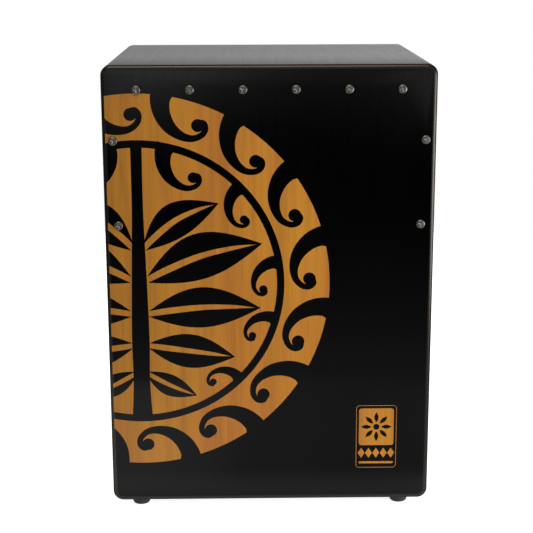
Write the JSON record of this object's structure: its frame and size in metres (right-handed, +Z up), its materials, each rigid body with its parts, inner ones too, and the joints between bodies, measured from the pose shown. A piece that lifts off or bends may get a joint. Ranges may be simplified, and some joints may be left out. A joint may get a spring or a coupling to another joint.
{
  "type": "cajon",
  "caption": "Plywood box drum with a thin screwed-on playing face, a round rear sound hole, inner snare wires and short rubber feet.",
  "frame": {"origin": "on the floor, under the middle of the box", "axes": "+Z up, the playing face looks towards -Y, +X to the right of someone who faces it"},
  "size_m": [0.35, 0.2979, 0.495],
  "materials": {
    "black_lacquer": "satin black lacquer on plywood",
    "tapa_lacquer": "satin black lacquer on thin plywood, faint vertical grain",
    "amber_veneer": "amber stained veneer under clear lacquer, fine vertical grain",
    "raw_wood": "bare sanded wood",
    "nickel_steel": "nickel plated, slightly dull",
    "snare_steel": "bright drawn wire",
    "black_rubber": "matt moulded rubber"
  },
  "bodies": {
    "box": {"back_panel": "black_lacquer", "bar_screw_left": "nickel_steel", "bar_screw_right": "nickel_steel", "bottom_panel": "black_lacquer", "corner_block_bottom_left": "raw_wood", "corner_block_bottom_right": "raw_wood", "corner_block_top_left": "raw_wood", "corner_block_top_right": "raw_wood", "foot_front_left": "black_rubber", "foot_front_right": "black_rubber", "foot_rear_left": "black_rubber", "foot_rear_right": "black_rubber", "foot_screw_front_left": "nickel_steel", "foot_screw_front_right": "nickel_steel", "foot_screw_rear_left": "nickel_steel", "foot_screw_rear_right": "nickel_steel", "foot_washer_front_left": "nickel_steel", "foot_washer_front_right": "nickel_steel", "foot_washer_rear_left": "nickel_steel", "foot_washer_rear_right": "nickel_steel", "left_panel": "black_lacquer", "right_panel": "black_lacquer", "snare_bar": "raw_wood", "snare_cleat_left": "raw_wood", "snare_cleat_right": "raw_wood", "snare_screw_left_inner": "nickel_steel", "snare_screw_left_outer": "nickel_steel", "snare_screw_right_inner": "nickel_steel", "snare_screw_right_outer": "nickel_steel", "snare_wires_left": "snare_steel", "snare_wires_right": "snare_steel", "tapa": "tapa_lacquer", "top_batten": "raw_wood", "top_panel": "black_lacquer"},
    "tapa_screw_left_1": {"tapa_screw_left_1": "nickel_steel"},
    "tapa_screw_left_2": {"tapa_screw_left_2": "nickel_steel"},
    "tapa_screw_right_1": {"tapa_screw_right_1": "nickel_steel"},
    "tapa_screw_right_2": {"tapa_screw_right_2": "nickel_steel"},
    "tapa_screw_top_1": {"tapa_screw_top_1": "nickel_steel"},
    "tapa_screw_top_2": {"tapa_screw_top_2": "nickel_steel"},
    "tapa_screw_top_3": {"tapa_screw_top_3": "nickel_steel"},
    "tapa_screw_top_4": {"tapa_screw_top_4": "nickel_steel"},
    "tapa_screw_top_5": {"tapa_screw_top_5": "nickel_steel"},
    "tapa_screw_top_6": {"tapa_screw_top_6": "nickel_steel"}
  },
  "joints": [
    {"name": "turn_screw_left_1", "type": "hinge", "parent": "box", "child": "tapa_screw_left_1", "pos_m": [-0.1637, -0.1478, 0.4165], "axis": [0, -1, 0], "range_deg": [0, 315]},
    {"name": "turn_screw_left_2", "type": "hinge", "parent": "box", "child": "tapa_screw_left_2", "pos_m": [-0.1602, -0.1478, 0.3264], "axis": [0, -1, 0], "range_deg": [0, 315]},
    {"name": "turn_screw_right_1", "type": "hinge", "parent": "box", "child": "tapa_screw_right_1", "pos_m": [0.1637, -0.1478, 0.4165], "axis": [0, -1, 0], "range_deg": [0, 315]},
    {"name": "turn_screw_right_2", "type": "hinge", "parent": "box", "child": "tapa_screw_right_2", "pos_m": [0.1602, -0.1478, 0.3264], "axis": [0, -1, 0], "range_deg": [0, 315]},
    {"name": "turn_screw_top_1", "type": "hinge", "parent": "box", "child": "tapa_screw_top_1", "pos_m": [-0.13825, -0.1478, 0.4695], "axis": [0, -1, 0], "range_deg": [0, 315]},
    {"name": "turn_screw_top_2", "type": "hinge", "parent": "box", "child": "tapa_screw_top_2", "pos_m": [-0.08295, -0.1478, 0.4695], "axis": [0, -1, 0], "range_deg": [0, 315]},
    {"name": "turn_screw_top_3", "type": "hinge", "parent": "box", "child": "tapa_screw_top_3", "pos_m": [-0.02765, -0.1478, 0.4695], "axis": [0, -1, 0], "range_deg": [0, 315]},
    {"name": "turn_screw_top_4", "type": "hinge", "parent": "box", "child": "tapa_screw_top_4", "pos_m": [0.02765, -0.1478, 0.4695], "axis": [0, -1, 0], "range_deg": [0, 315]},
    {"name": "turn_screw_top_5", "type": "hinge", "parent": "box", "child": "tapa_screw_top_5", "pos_m": [0.08295, -0.1478, 0.4695], "axis": [0, -1, 0], "range_deg": [0, 315]},
    {"name": "turn_screw_top_6", "type": "hinge", "parent": "box", "child": "tapa_screw_top_6", "pos_m": [0.13825, -0.1478, 0.4695], "axis": [0, -1, 0], "range_deg": [0, 315]}
  ]
}
